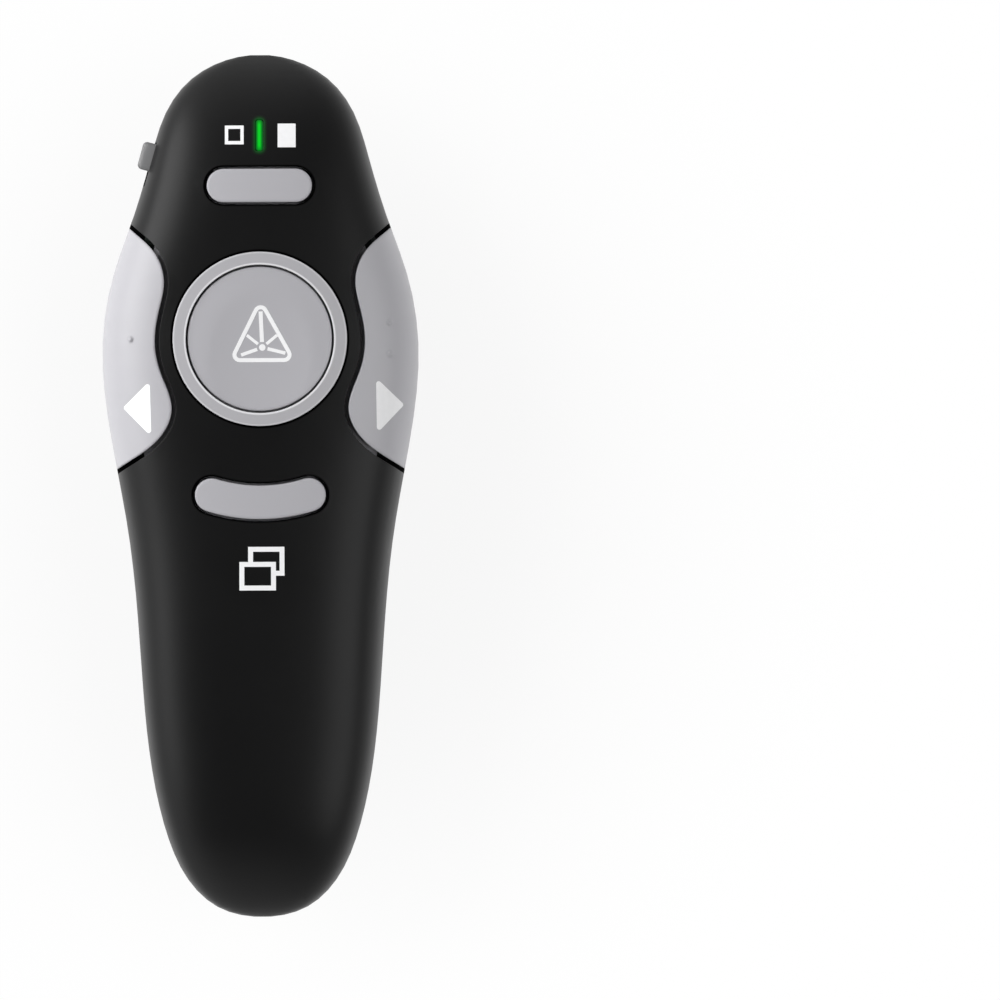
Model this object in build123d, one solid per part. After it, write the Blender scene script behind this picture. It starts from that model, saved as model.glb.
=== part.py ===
from build123d import *
import os
from math import pi, sin, sqrt

# Wireless presentation clicker: a two-shell body with five keys, a laser pointer in its nose, a
# battery cover that slides off towards the tail, and a USB receiver stowed under that cover.
# Millimetres. +Z is up, the keys are on top and the nose points along +Y. The origin lies on the
# rest plane, under the middle of the body.

os.makedirs("parts", exist_ok=True)

# ---------------------------------------------------------------- body form
BODY_LENGTH = 120.0
BODY_HALF_WIDTH = 22.0
PARTING_Z = 14.0            # height of the seam between the upper and the lower shell
CROWN_RISE = 12.5           # highest point of the back above the seam
BELLY_DROP = 14.7           # lowest point of the belly below the seam, before the rest flat is cut
UPPER_FULLNESS = 0.80       # how square the cross-section is above the seam, 0.55 is an ellipse
LOWER_FULLNESS = 0.70
OUTER_SECTIONS = 52         # smooth cross-sections of the loft, for the surfaces that are seen
OUTER_QUARTER_POINTS = 4    # points on each quarter of such a section
INNER_SECTIONS = 22         # flat-sided cross-sections, for the walls inside
INNER_QUARTER_POINTS = 3
LOFT_END = 1.3              # from the tips to the first and last section, along the outline
LOFT_GRADING = 0.35         # how much closer the sections stand near the tips than midway
# Outline seen from above: share of the length from the nose, share of the half width.
PLAN_SHAPE = ((0.0125, 0.300), (0.030, 0.445), (0.065, 0.589), (0.117, 0.686), (0.187, 0.800),
              (0.257, 0.932), (0.343, 1.000), (0.4475, 0.943), (0.5525, 0.841), (0.690, 0.768),
              (0.830, 0.695), (0.900, 0.609), (0.9525, 0.484), (0.9875, 0.291))
# Back and belly seen from the side: share of the length from the nose, share of rise or drop.
CROWN_SHAPE = ((0.0667, 0.600), (0.1667, 0.880), (0.333, 0.984), (0.433, 1.000), (0.5417, 0.984),
               (0.667, 0.944), (0.790, 0.880), (0.875, 0.816), (0.9417, 0.608))
BELLY_SHAPE = ((0.0667, 0.557), (0.1667, 0.790), (0.267, 0.912), (0.375, 0.983), (0.475, 1.000),
               (0.5667, 0.966), (0.667, 0.823), (0.790, 0.612), (0.875, 0.442), (0.940, 0.290))

# ---------------------------------------------------------------- shells
TOP_WALL = 1.6
COVER_WALL = 1.5
NOSE_WALL = 2.2
SHELL_GAP = 0.2             # between parts of the casing that slide past each other
SLIDE_GAP = 0.35            # between the cover and the core that it slides over
COVER_FLOOR_Z = 1.6         # inside of the cover over the rest flat
COVER_EDGE_REACH = 33.4     # how far the cover's front edge sweeps forward, seen from the side
COVER_EDGE_FROM_NOSE = 76.0  # where that edge runs out into the seam
NOSE_SKIN_FROM_NOSE = 69.0  # where the nose skin's tapering edge is cut off square
CORE_FRONT_FROM_NOSE = 33.0
CORE_TAIL_GAP = 3.0         # from the tail tip to the back of the core
PLATE_TOP_Z = 15.0          # the core's lip reaches this high inside the upper shell
LIP_GAP = 0.7               # between that lip and the upper shell's wall
SHELL_SCREW_FROM_TAIL = 8.4
SHELL_SCREW_R = 0.95
SHELL_SCREW_HEAD_R = 2.0
SHELL_SCREW_HEAD_H = 1.3
SHELL_SCREW_BOSS_R = 2.5
SHELL_SCREW_SINK = 0.6      # from the core's underside up to the head
THREAD_GAP = 0.05

# ---------------------------------------------------------------- battery bay, an AAA cell
CELL_R = 5.25
CELL_LENGTH = 44.5
CELL_GAP = 0.25
CELL_X = -6.0
CELL_Z = 15.2
BAY_FROM_NOSE = 57.4        # front wall of the bay
SPRING_WORKING_LENGTH = 3.2
BAY_SPARE = 1.1
BAY_WALL = 0.8
DECK_Z = 11.5               # flat underside of the core around the bay
SPRING_WIRE_R = 0.3
SPRING_BIG_R = 3.6
SPRING_SMALL_R = 1.8
SPRING_TURNS = 3.0
CONTACT_SIZE = 7.6
CONTACT_T = 0.4

# ---------------------------------------------------------------- receiver and its bay
PLUG_WIDTH = 12.0
PLUG_HEIGHT = 4.5
PLUG_LENGTH = 13.0
PLUG_SHEET = 0.3
PLUG_WINDOW = 2.4
PLUG_WINDOW_SPACING = 5.9
PLUG_WINDOW_FROM_TIP = 7.6
CAP_WIDTH = 13.6
CAP_HEIGHT = 7.0
CAP_LENGTH = 8.0
CAP_CHAMFER = 0.6
CAP_PANEL_WIDTH = 11.3
CAP_PANEL_RISE = 0.2
CAP_GROOVES = 4
CAP_GROOVE_PITCH = 1.5
CAP_GROOVE_DEPTH = 0.5
PLUG_ROOT = 1.5             # how deep the plug's shell sits in the cap
RECEIVER_X = 7.0
RECEIVER_Z = 13.9
SOCKET_FROM_NOSE = 68.0     # mouth of the socket that the plug is pushed into
SOCKET_GAP = 0.15
RECEIVER_TRAVEL = 13.0
PLATEAU_Z = 10.3            # flat face over the socket
PLATEAU_LEFT = -5.0
PLATEAU_RIGHT = 15.6
PLATEAU_FRONT_FROM_NOSE = 48.4
WINDOW_WIDTH = 4.6
WINDOW_LENGTH = 4.4
WINDOW_DEPTH = 1.0
WINDOW_FROM_NOSE = 55.3
WINDOW_XS = (-0.5, 8.7)
TONGUE_PIT_LENGTH = 10.9

# ---------------------------------------------------------------- cover details
TONGUE_WIDTH = 6.0
THUMB_HALF_WIDTH = 7.0
THUMB_HALF_LENGTH = 11.0
THUMB_DEPTH = 0.7
THUMB_FROM_NOSE = 58.0
THUMB_TAPER = 35.0
GRIP_BAR_WIDTH = 8.0
GRIP_BAR_T = 1.0
GRIP_BAR_PITCH = 2.2
GRIP_RISE = 0.35
GRIP_DOT_R = 0.6
COVER_SLOT_WIDTH = 9.0
COVER_SLOT_T = 1.3
COVER_SLOT_FROM_NOSE = 45.2

# ---------------------------------------------------------------- keys
KEY_GAP = 0.3
KEY_TRAVEL = 0.5
FLANGE_GAP = 0.15
FLANGE_T = 0.8
FLANGE_REACH = 1.0
BUTTON_FROM_NOSE = 39.6
BUTTON_R = 10.0
BUTTON_DISH = 0.35
DISH_RINGS = (0.0, 0.25, 0.5, 0.75, 1.2)    # share of the radius where the dish changes slope
RING_R = 12.15
RING_RISE = 0.25
RING_SEAT = 0.45
TOP_KEY_FROM_NOSE = 18.3
TOP_KEY_LENGTH = 14.6
TOP_KEY_WIDTH = 4.65
LOWER_KEY_MID_R = 22.7      # about the round button's centre
LOWER_KEY_HALF_ANGLE = 17.3
LOWER_KEY_WIDTH = 4.65
LOWER_KEY_ARM_WIDTH = 4.0
LOWER_KEY_ARM_T = 1.0
SIDE_KEY_WALL = 1.8
SIDE_KEY_GAP = 0.6
SIDE_KEY_LIFT = 0.3         # above the seam
SIDE_KEY_PIVOT_X = 17.6
SIDE_KEY_PIVOT_Z = 15.9
SIDE_KEY_PIN_R = 0.6
PIN_GAP = 0.05
LUG_SPACING = 12.4
LUG_T = 1.4
LUG_HALF_H = 1.0
# Inner edge of a side key: distance from the nose, distance from the middle.
SIDE_KEY_EDGE = ((22.5, 19.6), (24.3, 18.0), (27.3, 14.8), (31.5, 13.3), (35.6, 14.0), (39.7, 14.6),
                 (44.0, 13.9), (49.6, 12.3), (52.8, 13.6), (56.5, 18.15), (58.0, 20.5))
BUMP_R = 0.6
BUMP_TOP_R = 0.3
BUMP_RISE = 0.22
BUMP_FROM_MIDDLE = 18.0
BUMP_SPACING = 4.4

# ---------------------------------------------------------------- board and what is on it
BOARD_Z = 17.4
BOARD_T = 1.0
BOARD_EDGE_GAP = 0.6
BOARD_FRONT_FROM_NOSE = 8.0
BOARD_BACK_FROM_NOSE = 55.8
TACT_SIZE = 4.5
TACT_HEIGHT = 2.5
TACT_FLOOR = 0.2
PLUNGER_R = 1.2
PLUNGER_GAP = 0.35
PLUNGER_HEIGHT = 2.3
STEM_R = 1.8
LOWER_TACT_FROM_NOSE = 53.1
SIDE_TACT_FROM_NOSE = 48.0
SIDE_TACT_X = 14.25
POST_R = 1.5
POST_X = 9.5
POSTS_FROM_NOSE = (26.5, 52.6)
BOARD_SCREW_R = 0.6
BOARD_SCREW_LENGTH = 5.0
BOARD_SCREW_HEAD_R = 1.2
BOARD_SCREW_HEAD_H = 0.9
LED_FROM_NOSE = 11.3
LED_WIDTH = 1.0
LED_LENGTH = 4.2
LED_CHIP_H = 0.7
CHIP_SIZE = 5.0
CHIP_H = 0.9
CRYSTAL_LENGTH = 5.0
CRYSTAL_WIDTH = 3.2
CRYSTAL_H = 1.2
COIL_R = 2.0
COIL_H = 2.0

# ---------------------------------------------------------------- power switch
SWITCH_FROM_NOSE = 14.25
SWITCH_Z = 16.2
SWITCH_TRAVEL = 2.0
KNOB_LENGTH = 3.9
KNOB_HEIGHT = 1.9
KNOB_STANDS_OUT = 1.5
KNOB_DEPTH = 3.6
KNOB_GAP = 0.2
SWITCH_BODY_LENGTH = 7.4
SWITCH_BODY_DEPTH = 3.0
SWITCH_BODY_HEIGHT = 2.1
SLIDER_LENGTH = 1.4
SLIDER_DEPTH = 1.6
SLIDER_HEIGHT = 1.0

# ---------------------------------------------------------------- laser pointer
LASER_R = 2.7
LASER_Z = 12.0
LASER_FRONT_FROM_NOSE = 6.4
LASER_LENGTH = 13.0
LASER_BORE_R = 1.8
LENS_T = 1.2
LENS_GAP = 0.03
LASER_WINDOW_R = 1.7
LASER_WINDOW_T = 1.0
LASER_WINDOW_FROM_NOSE = 2.0
LASER_BOARD_WIDTH = 8.0
LASER_BOARD_T = 1.0

# ---------------------------------------------------------------- places worked out from the sizes
BIG = 4 * BODY_LENGTH       # reaches past everything, for tools that cut right through
NOSE_Y = BODY_LENGTH / 2


def from_nose(distance):
    """Y of a place at this distance behind the nose tip."""
    return NOSE_Y - distance


BUTTON_Y = from_nose(BUTTON_FROM_NOSE)
TOP_KEY_Y = from_nose(TOP_KEY_FROM_NOSE)
BAY_FRONT_Y = from_nose(BAY_FROM_NOSE)
BAY_R = CELL_R + CELL_GAP
BAY_BACK_Y = BAY_FRONT_Y - CELL_LENGTH - SPRING_WORKING_LENGTH - BAY_SPARE
SOCKET_Y = from_nose(SOCKET_FROM_NOSE)
CAP_FRONT_Y = SOCKET_Y - SHELL_GAP
CAP_BACK_Y = CAP_FRONT_Y - CAP_LENGTH
RECESS_BACK_Y = CAP_BACK_Y - RECEIVER_TRAVEL - 2 * SHELL_GAP
RECESS_TOP_Z = RECEIVER_Z + CAP_HEIGHT / 2 + SOCKET_GAP
BOARD_TOP_Z = BOARD_Z + BOARD_T
TACT_TOP_Z = BOARD_TOP_Z + TACT_HEIGHT
PLUNGER_Z = BOARD_TOP_Z + TACT_FLOOR + KEY_TRAVEL + SOCKET_GAP
PLUNGER_TOP_Z = PLUNGER_Z + PLUNGER_HEIGHT
LASER_FRONT_Y = from_nose(LASER_FRONT_FROM_NOSE)
SHELL_SCREW_Y = SHELL_SCREW_FROM_TAIL - NOSE_Y
FLANGE_INSET = TOP_WALL + FLANGE_GAP
SCREW_SEAT_Z = DECK_Z + SHELL_SCREW_SINK + SHELL_SCREW_HEAD_H


# ---------------------------------------------------------------- small tools
def block(x, y, z):
    """A box from (low, high) pairs along X, Y and Z."""
    size = [high - low for low, high in (x, y, z)]
    middle = [(high + low) / 2 for low, high in (x, y, z)]
    return Pos(*middle) * Box(*size)


def prism(sketch, low, high):
    """A flat shape on XY pulled up from one height to another."""
    return extrude(Pos(0, 0, low) * sketch, high - low)


def rod(radius, x, z, back, front):
    """A round bar along Y."""
    return Pos(x, back, z) * Rot(-90, 0, 0) * Cylinder(
        radius, front - back, align=(Align.CENTER, Align.CENTER, Align.MIN))


def above(z):
    return block((-BIG, BIG), (-BIG, BIG), (z, BIG))


def below(z):
    return block((-BIG, BIG), (-BIG, BIG), (-BIG, z))


def largest(part):
    """The main solid of a cut part, without the slivers that a cut can leave."""
    return part.solids().sort_by(SortBy.VOLUME)[-1]


def both_sides(part):
    """The part and its mirror image across the middle plane."""
    return [part, part.mirror(Plane.YZ)]


# ---------------------------------------------------------------- the body form and its insets
def closed_outline(upper, lower, upper_reach, lower_reach):
    """Smooth closed curve: from the nose at the origin along +X to the tail, and back below."""
    out = [(share * BODY_LENGTH, reach * upper_reach) for share, reach in upper]
    back = [(share * BODY_LENGTH, -reach * lower_reach) for share, reach in reversed(lower)]
    return Spline([(0, 0)] + out + [(BODY_LENGTH, 0)] + back, periodic=True)


def inset_outline(outline, inset):
    """The outline moved inwards by inset, or outwards where it is negative."""
    if inset == 0:
        return outline
    count = 90
    points = []
    for step in range(count):
        place = outline @ (step / count)
        along = outline % (step / count)
        points.append((place.X + along.Y * inset, place.Y - along.X * inset))
    return Spline(points, periodic=True)


PLAN = closed_outline(PLAN_SHAPE, PLAN_SHAPE, BODY_HALF_WIDTH, BODY_HALF_WIDTH)
SIDE = closed_outline(CROWN_SHAPE, BELLY_SHAPE, CROWN_RISE, BELLY_DROP)


def reach(outline, distance):
    """Highest and lowest value of an outline at a distance from the nose."""
    points = outline.find_intersection_points(Axis((distance, 0, 0), (0, 1, 0)))
    heights = [point.Y for point in points]
    return max(heights), min(heights)


def quarter_point(step, fullness):
    """Share of width and height on a cubic quarter of the cross-section, from side to top."""
    rest = 1 - step
    width = rest ** 3 + 3 * step * rest ** 2 + 3 * step ** 2 * rest * fullness
    height = 3 * step * rest ** 2 * fullness + 3 * step ** 2 * rest + step ** 3
    return width, height


def section(y, half_width, rise, drop, smooth):
    """Cross-section of the body: square-shouldered above the seam, rounder below."""
    count = OUTER_QUARTER_POINTS if smooth else INNER_QUARTER_POINTS
    points = []
    for corner in range(4):
        up = corner in (1, 2)
        right = corner in (0, 1)
        fullness = UPPER_FULLNESS if up else LOWER_FULLNESS
        for number in range(count):
            step = (number if smooth else number + 0.5) / count
            width, height = quarter_point(step if corner in (1, 3) else 1 - step, fullness)
            points.append(Vector(half_width * width * (1 if right else -1), y,
                                 PARTING_Z + height * (rise if up else -drop)))
    if not smooth:
        return Wire.make_polygon(points, close=True)
    steps = [float(number) for number in range(len(points) + 1)]
    return Wire([Edge.make_spline(points, periodic=True, parameters=steps)])


FORMS = {}


def form(inset):
    """The whole body lofted as one solid, inset by a wall's thickness.

    The sections are spaced along the outline seen from above, and close up towards the round ends.
    A loft that comes out with its faces turned inwards is closed again from the same faces.
    """
    if inset not in FORMS:
        plan = inset_outline(PLAN, inset)
        side = inset_outline(SIDE, inset)
        smooth = inset <= 0
        count = OUTER_SECTIONS if smooth else INNER_SECTIONS
        span = plan.length / 2 - 2 * LOFT_END
        sections = []
        for step in range(count):
            share = step / (count - 1)
            along = LOFT_END + span * (share - LOFT_GRADING * sin(2 * pi * share) / (2 * pi))
            distance = plan.position_at(along, PositionMode.LENGTH).X
            half_width = reach(plan, distance)[0]
            rise, drop = reach(side, distance)
            sections.append(section(from_nose(distance), half_width, rise, -drop, smooth))
        body = Solid.make_loft(sections, ruled=True)
        FORMS[inset] = body if body.volume > 0 else Solid(Shell(body.faces()))
    return FORMS[inset]


def skin(region, outer, inner):
    """The stretch of wall between two insets inside a region."""
    return (form(outer) & region) - form(inner)


# ---------------------------------------------------------------- flat shapes of the keys
def side_key_shape(grow=0.0):
    """The right key's area seen from above: its inner edge, closed well outside the body."""
    edge = Spline([(middle, from_nose(distance)) for distance, middle in SIDE_KEY_EDGE])
    count = 24
    points = []
    for step in range(count + 1):
        place = edge @ (step / count)
        along = edge % (step / count)
        points.append((place.X + along.Y * grow, place.Y - along.X * grow))
    outside = 2 * BODY_HALF_WIDTH
    rest = Polyline(points[-1], (outside, points[-1][1]), (outside, points[0][1]), points[0])
    return make_face([Spline(points), rest])


def lower_key_shape(grow=0.0):
    """A slot bent round the round button's centre."""
    middle = CenterArc((0, BUTTON_Y), LOWER_KEY_MID_R, 270 - LOWER_KEY_HALF_ANGLE,
                       2 * LOWER_KEY_HALF_ANGLE)
    return SlotArc(middle, LOWER_KEY_WIDTH + 2 * grow)


def top_key_shape(grow=0.0):
    return Pos(0, TOP_KEY_Y) * SlotOverall(TOP_KEY_LENGTH + 2 * grow, TOP_KEY_WIDTH + 2 * grow)


def button_shape(grow=0.0):
    return Pos(0, BUTTON_Y) * Circle(BUTTON_R + grow)


# ---------------------------------------------------------------- power switch frame
def switch_plane():
    """On the body's left flank: X runs backwards along the flank, Y points into the body."""
    step = 0.5
    ahead = reach(PLAN, SWITCH_FROM_NOSE - step)[0]
    behind = reach(PLAN, SWITCH_FROM_NOSE + step)[0]
    half_width = reach(PLAN, SWITCH_FROM_NOSE)[0]
    return Plane((-half_width, from_nose(SWITCH_FROM_NOSE), SWITCH_Z),
                 x_dir=(ahead - behind, -2 * step, 0), z_dir=(0, 0, 1))


SWITCH_PLANE = switch_plane()


def at_switch(x, y, z):
    """A box in the switch's own frame, from (low, high) pairs."""
    return SWITCH_PLANE.location * block(x, y, z)


# ---------------------------------------------------------------- upper shell
def key_holes():
    """Everything that the keys need cut out of the upper shell."""
    low = PARTING_Z + CROWN_RISE / 3
    holes = [prism(button_shape(KEY_GAP), low, BIG), prism(top_key_shape(KEY_GAP), low, BIG),
             prism(lower_key_shape(KEY_GAP), low, BIG)]
    holes += both_sides(prism(side_key_shape(SIDE_KEY_GAP), 0, BIG))
    return holes


def led_slot(gap=0.0):
    shape = Pos(0, from_nose(LED_FROM_NOSE)) * RectangleRounded(
        LED_WIDTH + 2 * gap, LED_LENGTH + 2 * gap, LED_WIDTH / 3)
    return prism(shape, BOARD_TOP_Z + LED_CHIP_H, BIG)


def laser_hole():
    return rod(LASER_WINDOW_R + LENS_GAP, 0, LASER_Z, LASER_FRONT_Y, NOSE_Y + 1)


def board_post_places():
    return [(side * POST_X, from_nose(distance)) for distance in POSTS_FROM_NOSE for side in (-1, 1)]


def make_top_housing():
    shell = (form(0) & above(PARTING_Z)) - form(TOP_WALL)
    ring_seat = prism(button_shape(RING_R - BUTTON_R), 0, BIG) - form(RING_SEAT)
    knob_slot = at_switch((-KNOB_LENGTH / 2 - KNOB_GAP, KNOB_LENGTH / 2 + KNOB_GAP + SWITCH_TRAVEL),
                          (-2 * TOP_WALL, 2 * TOP_WALL),
                          (-KNOB_HEIGHT / 2 - KNOB_GAP, KNOB_HEIGHT / 2 + KNOB_GAP))
    shell = shell - [ring_seat & above(PARTING_Z), knob_slot, led_slot(KNOB_GAP / 2), laser_hole()]
    shell = shell - key_holes()
    inside = form(TOP_WALL / 2)
    boss = prism(Pos(0, SHELL_SCREW_Y) * Circle(SHELL_SCREW_BOSS_R), PLATE_TOP_Z, BIG) & inside
    shell = shell + boss
    for place in board_post_places():
        shell = shell + (prism(Pos(*place) * Circle(POST_R), BOARD_TOP_Z, BIG) & inside)
        shell = shell - prism(Pos(*place) * Circle(BOARD_SCREW_R + THREAD_GAP), BOARD_TOP_Z,
                              BOARD_Z + BOARD_SCREW_LENGTH)
    return shell - prism(Pos(0, SHELL_SCREW_Y) * Circle(SHELL_SCREW_R + THREAD_GAP), PARTING_Z,
                         SCREW_SEAT_Z + 8)


def make_button_ring():
    band = Pos(0, BUTTON_Y) * (Circle(RING_R - 0.05) - Circle(BUTTON_R + KEY_GAP))
    return skin(prism(band, PARTING_Z + CROWN_RISE / 2, BIG), -RING_RISE, RING_SEAT)


# ---------------------------------------------------------------- lower shell
def edge_sweep(grow):
    """Everything behind the cover's curved front edge: a quarter ellipse seen from the side."""
    start = from_nose(COVER_EDGE_FROM_NOSE)
    ellipse = Plane.YZ.offset(-BIG / 8) * Pos(start, 0) * Ellipse(COVER_EDGE_REACH + grow,
                                                                  PARTING_Z + grow)
    behind = block((-BIG / 8, BIG / 8), (-BIG, start), (-BIG, PARTING_Z + grow))
    return [extrude(ellipse, BIG / 4), behind]


def make_core():
    """The block under the seam that the cover slides over, with the lip above the seam."""
    inset = COVER_WALL + SLIDE_GAP
    front = from_nose(CORE_FRONT_FROM_NOSE)
    back = CORE_TAIL_GAP - NOSE_Y
    span = block((-BIG, BIG), (back, front), (COVER_FLOOR_Z + SLIDE_GAP, PARTING_Z))
    core = form(inset) & span
    lip = form(TOP_WALL + LIP_GAP) & block((-BIG, BIG), (back, front), (PARTING_Z, PLATE_TOP_Z))
    return core + lip


def bay_shape(grow):
    """Outside or inside of the battery bay: a half round over straight sides."""
    radius = BAY_R + grow
    back, front = BAY_BACK_Y - grow, BAY_FRONT_Y + grow
    return rod(radius, CELL_X, CELL_Z, back, front) + block(
        (CELL_X - radius, CELL_X + radius), (back, front), (0, CELL_Z))


def recess_shape(grow):
    """Outside or inside of the receiver's recess."""
    half = CAP_WIDTH / 2 + SOCKET_GAP + grow
    return block((RECEIVER_X - half, RECEIVER_X + half), (RECESS_BACK_Y - grow, SOCKET_Y + grow),
                 (0, RECESS_TOP_Z + grow))


def socket_shape(grow):
    half = PLUG_WIDTH / 2 + SOCKET_GAP + grow
    height = PLUG_HEIGHT / 2 + SOCKET_GAP + grow
    return block((RECEIVER_X - half, RECEIVER_X + half),
                 (SOCKET_Y, SOCKET_Y + PLUG_LENGTH + grow),
                 (RECEIVER_Z - height, RECEIVER_Z + height))


def plateau_cuts():
    """Deck, plateau and tongue pit, all opened from below."""
    plateau_front = from_nose(PLATEAU_FRONT_FROM_NOSE)
    step_y = BAY_FRONT_Y + BAY_WALL
    split_x = RECEIVER_X - CAP_WIDTH / 2 - SOCKET_GAP
    deck = block((-BIG, BIG), (-BIG, SOCKET_Y), (-BIG, DECK_Z))
    deck_left = block((-BIG, split_x), (-BIG, step_y), (-BIG, DECK_Z))
    plateau = block((split_x, PLATEAU_RIGHT), (SOCKET_Y, plateau_front), (-BIG, PLATEAU_Z))
    plateau_left = block((PLATEAU_LEFT, split_x), (step_y, plateau_front), (-BIG, PLATEAU_Z))
    pit = block((PLATEAU_LEFT, PLATEAU_RIGHT), (plateau_front, plateau_front + TONGUE_PIT_LENGTH),
                (-BIG, DECK_Z))
    return [deck, deck_left, plateau, plateau_left, pit]


def window_cut(x):
    """A window in the plateau, with a spring tab left standing in it."""
    y = from_nose(WINDOW_FROM_NOSE)
    hole = Rectangle(WINDOW_WIDTH, WINDOW_LENGTH)
    tab = Pos(0, WINDOW_LENGTH / 6) * Rectangle(WINDOW_WIDTH / 2, 2 * WINDOW_LENGTH / 3)
    return prism(Pos(x, y) * (hole - tab), PLATEAU_Z, PLATEAU_Z + WINDOW_DEPTH)


def pivot_brackets():
    """Two eyes for each side key's pivot pins, standing on the core's lip."""
    reach_out = 1.0
    eyes = []
    for end in (-1, 1):
        y = BUTTON_Y + end * (LUG_SPACING / 2 - LUG_T - KEY_GAP / 2)
        eye = block((SIDE_KEY_PIVOT_X - reach_out, SIDE_KEY_PIVOT_X + reach_out),
                    (y - LUG_T / 2, y + LUG_T / 2),
                    (PLATE_TOP_Z, SIDE_KEY_PIVOT_Z + reach_out))
        hole = rod(SIDE_KEY_PIN_R + PIN_GAP, SIDE_KEY_PIVOT_X, SIDE_KEY_PIVOT_Z, y - LUG_T, y + LUG_T)
        eyes += both_sides(eye - hole)
    return eyes


def make_lower_housing():
    core = make_core() - plateau_cuts()
    tubs = (bay_shape(BAY_WALL) + recess_shape(BAY_WALL) + socket_shape(BAY_WALL)) & above(PARTING_Z)
    core = core + (tubs & form(TOP_WALL + FLANGE_GAP))
    core = core - [bay_shape(0), recess_shape(0), socket_shape(0)]
    core = core - [window_cut(x) for x in WINDOW_XS]
    nose_span = block((-BIG, BIG), (from_nose(NOSE_SKIN_FROM_NOSE), BIG), (0, PARTING_Z))
    nose = (skin(nose_span, 0, NOSE_WALL) - edge_sweep(0)) - laser_hole()
    housing = core + nose + pivot_brackets()
    screw_place = Pos(0, SHELL_SCREW_Y)
    counterbore = prism(screw_place * Circle(SHELL_SCREW_HEAD_R + SHELL_GAP), 0,
                        SCREW_SEAT_Z)
    clearance = prism(screw_place * Circle(SHELL_SCREW_R + SHELL_GAP), 0, PLATE_TOP_Z)
    return largest(housing - [counterbore, clearance])


# ---------------------------------------------------------------- battery cover
def make_tongue():
    """Springy tongue with a hook at its tip, which dips inwards past the nose skin's edge."""
    edge = from_nose(COVER_EDGE_FROM_NOSE) + COVER_EDGE_REACH
    floor = COVER_FLOOR_Z
    profile = Polyline((edge - 5.2, floor - 0.1), (edge - 1.6, floor - 0.1), (edge - 0.2, floor + 1.1),
                       (edge + 4.4, floor + 2.8), (edge + 4.4, floor + 4.3), (edge + 3.6, floor + 4.3),
                       (edge + 3.2, floor + 3.7), (edge - 0.6, floor + 2.3), (edge - 3.2, floor + 1.4),
                       (edge - 5.2, floor + 1.4), close=True)
    face = Plane.YZ.offset(-TONGUE_WIDTH / 2) * make_face(profile)
    return extrude(face, TONGUE_WIDTH)


def grip_marks():
    """Three bars and an arrow of three dots on the floor of the thumb recess."""
    y = from_nose(THUMB_FROM_NOSE)
    low, high = THUMB_DEPTH - GRIP_RISE, THUMB_DEPTH + 0.1
    marks = [prism(Pos(0, y + 2 + step * GRIP_BAR_PITCH) * SlotOverall(GRIP_BAR_WIDTH, GRIP_BAR_T),
                   low, high) for step in range(3)]
    for x, back in ((-3 * GRIP_DOT_R, 1.0), (3 * GRIP_DOT_R, 1.0), (0, 3.6)):
        marks.append(prism(Pos(x, y - back) * Circle(GRIP_DOT_R), low, high))
    return marks


def make_battery_cover():
    region = block((-BIG, BIG), (-BIG, BIG), (0, PARTING_Z - SHELL_GAP))
    outer = form(0) & region
    outer = outer & (edge_sweep(-SHELL_GAP)[0] + edge_sweep(-SHELL_GAP)[1])
    cover = outer - (form(COVER_WALL) & above(COVER_FLOOR_Z))
    recess = extrude(Pos(0, from_nose(THUMB_FROM_NOSE)) * Ellipse(THUMB_HALF_WIDTH, THUMB_HALF_LENGTH),
                     THUMB_DEPTH, taper=THUMB_TAPER)
    slot = prism(Pos(0, from_nose(COVER_SLOT_FROM_NOSE)) * SlotOverall(COVER_SLOT_WIDTH, COVER_SLOT_T),
                 -1, THUMB_DEPTH)
    cover = cover - [recess, slot]
    return cover + grip_marks() + make_tongue()


# ---------------------------------------------------------------- keys
def flange(shape):
    """Rim under the upper shell that keeps a key from falling out."""
    return skin(prism(shape, PLUNGER_TOP_Z - FLANGE_T, BIG), FLANGE_INSET, FLANGE_INSET + FLANGE_T)


def stem(x, y):
    """Round stem from a key's underside down to its switch."""
    return prism(Pos(x, y) * Circle(STEM_R), PLUNGER_TOP_Z, BIG) & form(TOP_WALL)


def key_cap(shape, flange_shape):
    """A key with straight sides that follows the body's surface above and below."""
    cap = skin(prism(shape, PLUNGER_TOP_Z - FLANGE_T, BIG), 0, FLANGE_INSET + FLANGE_T)
    return cap + flange(flange_shape)


def make_laser_button():
    cap = key_cap(button_shape(), button_shape(FLANGE_REACH))
    surface_z = PARTING_Z + reach(SIDE, BUTTON_FROM_NOSE)[0]
    slope = [(share * BUTTON_R, surface_z - BUTTON_DISH * (1 - share ** 2)) for share in DISH_RINGS]
    above_it = [(slope[-1][0], surface_z + BUTTON_R), (0, surface_z + BUTTON_R)]
    profile = Plane.XZ * make_face(Polyline(slope + above_it, close=True))
    return (cap - Pos(0, BUTTON_Y, 0) * revolve(profile, Axis.Z)) + stem(0, BUTTON_Y)


def make_top_key():
    return key_cap(top_key_shape(), top_key_shape(FLANGE_REACH)) + stem(0, TOP_KEY_Y)


def make_lower_key():
    """The bent key, with an arm that reaches forward to its switch."""
    cap = key_cap(lower_key_shape(), lower_key_shape(FLANGE_REACH))
    key_y = BUTTON_Y - LOWER_KEY_MID_R
    tact_y = from_nose(LOWER_TACT_FROM_NOSE)
    half = LOWER_KEY_ARM_WIDTH / 2
    arm = block((-half, half), (key_y - half / 2, tact_y + STEM_R),
                (PLUNGER_TOP_Z, PLUNGER_TOP_Z + LOWER_KEY_ARM_T))
    post = block((-half, half), (key_y - half / 2, key_y + half / 2), (PLUNGER_TOP_Z, BIG))
    return cap + arm + (post & form(TOP_WALL))


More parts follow.
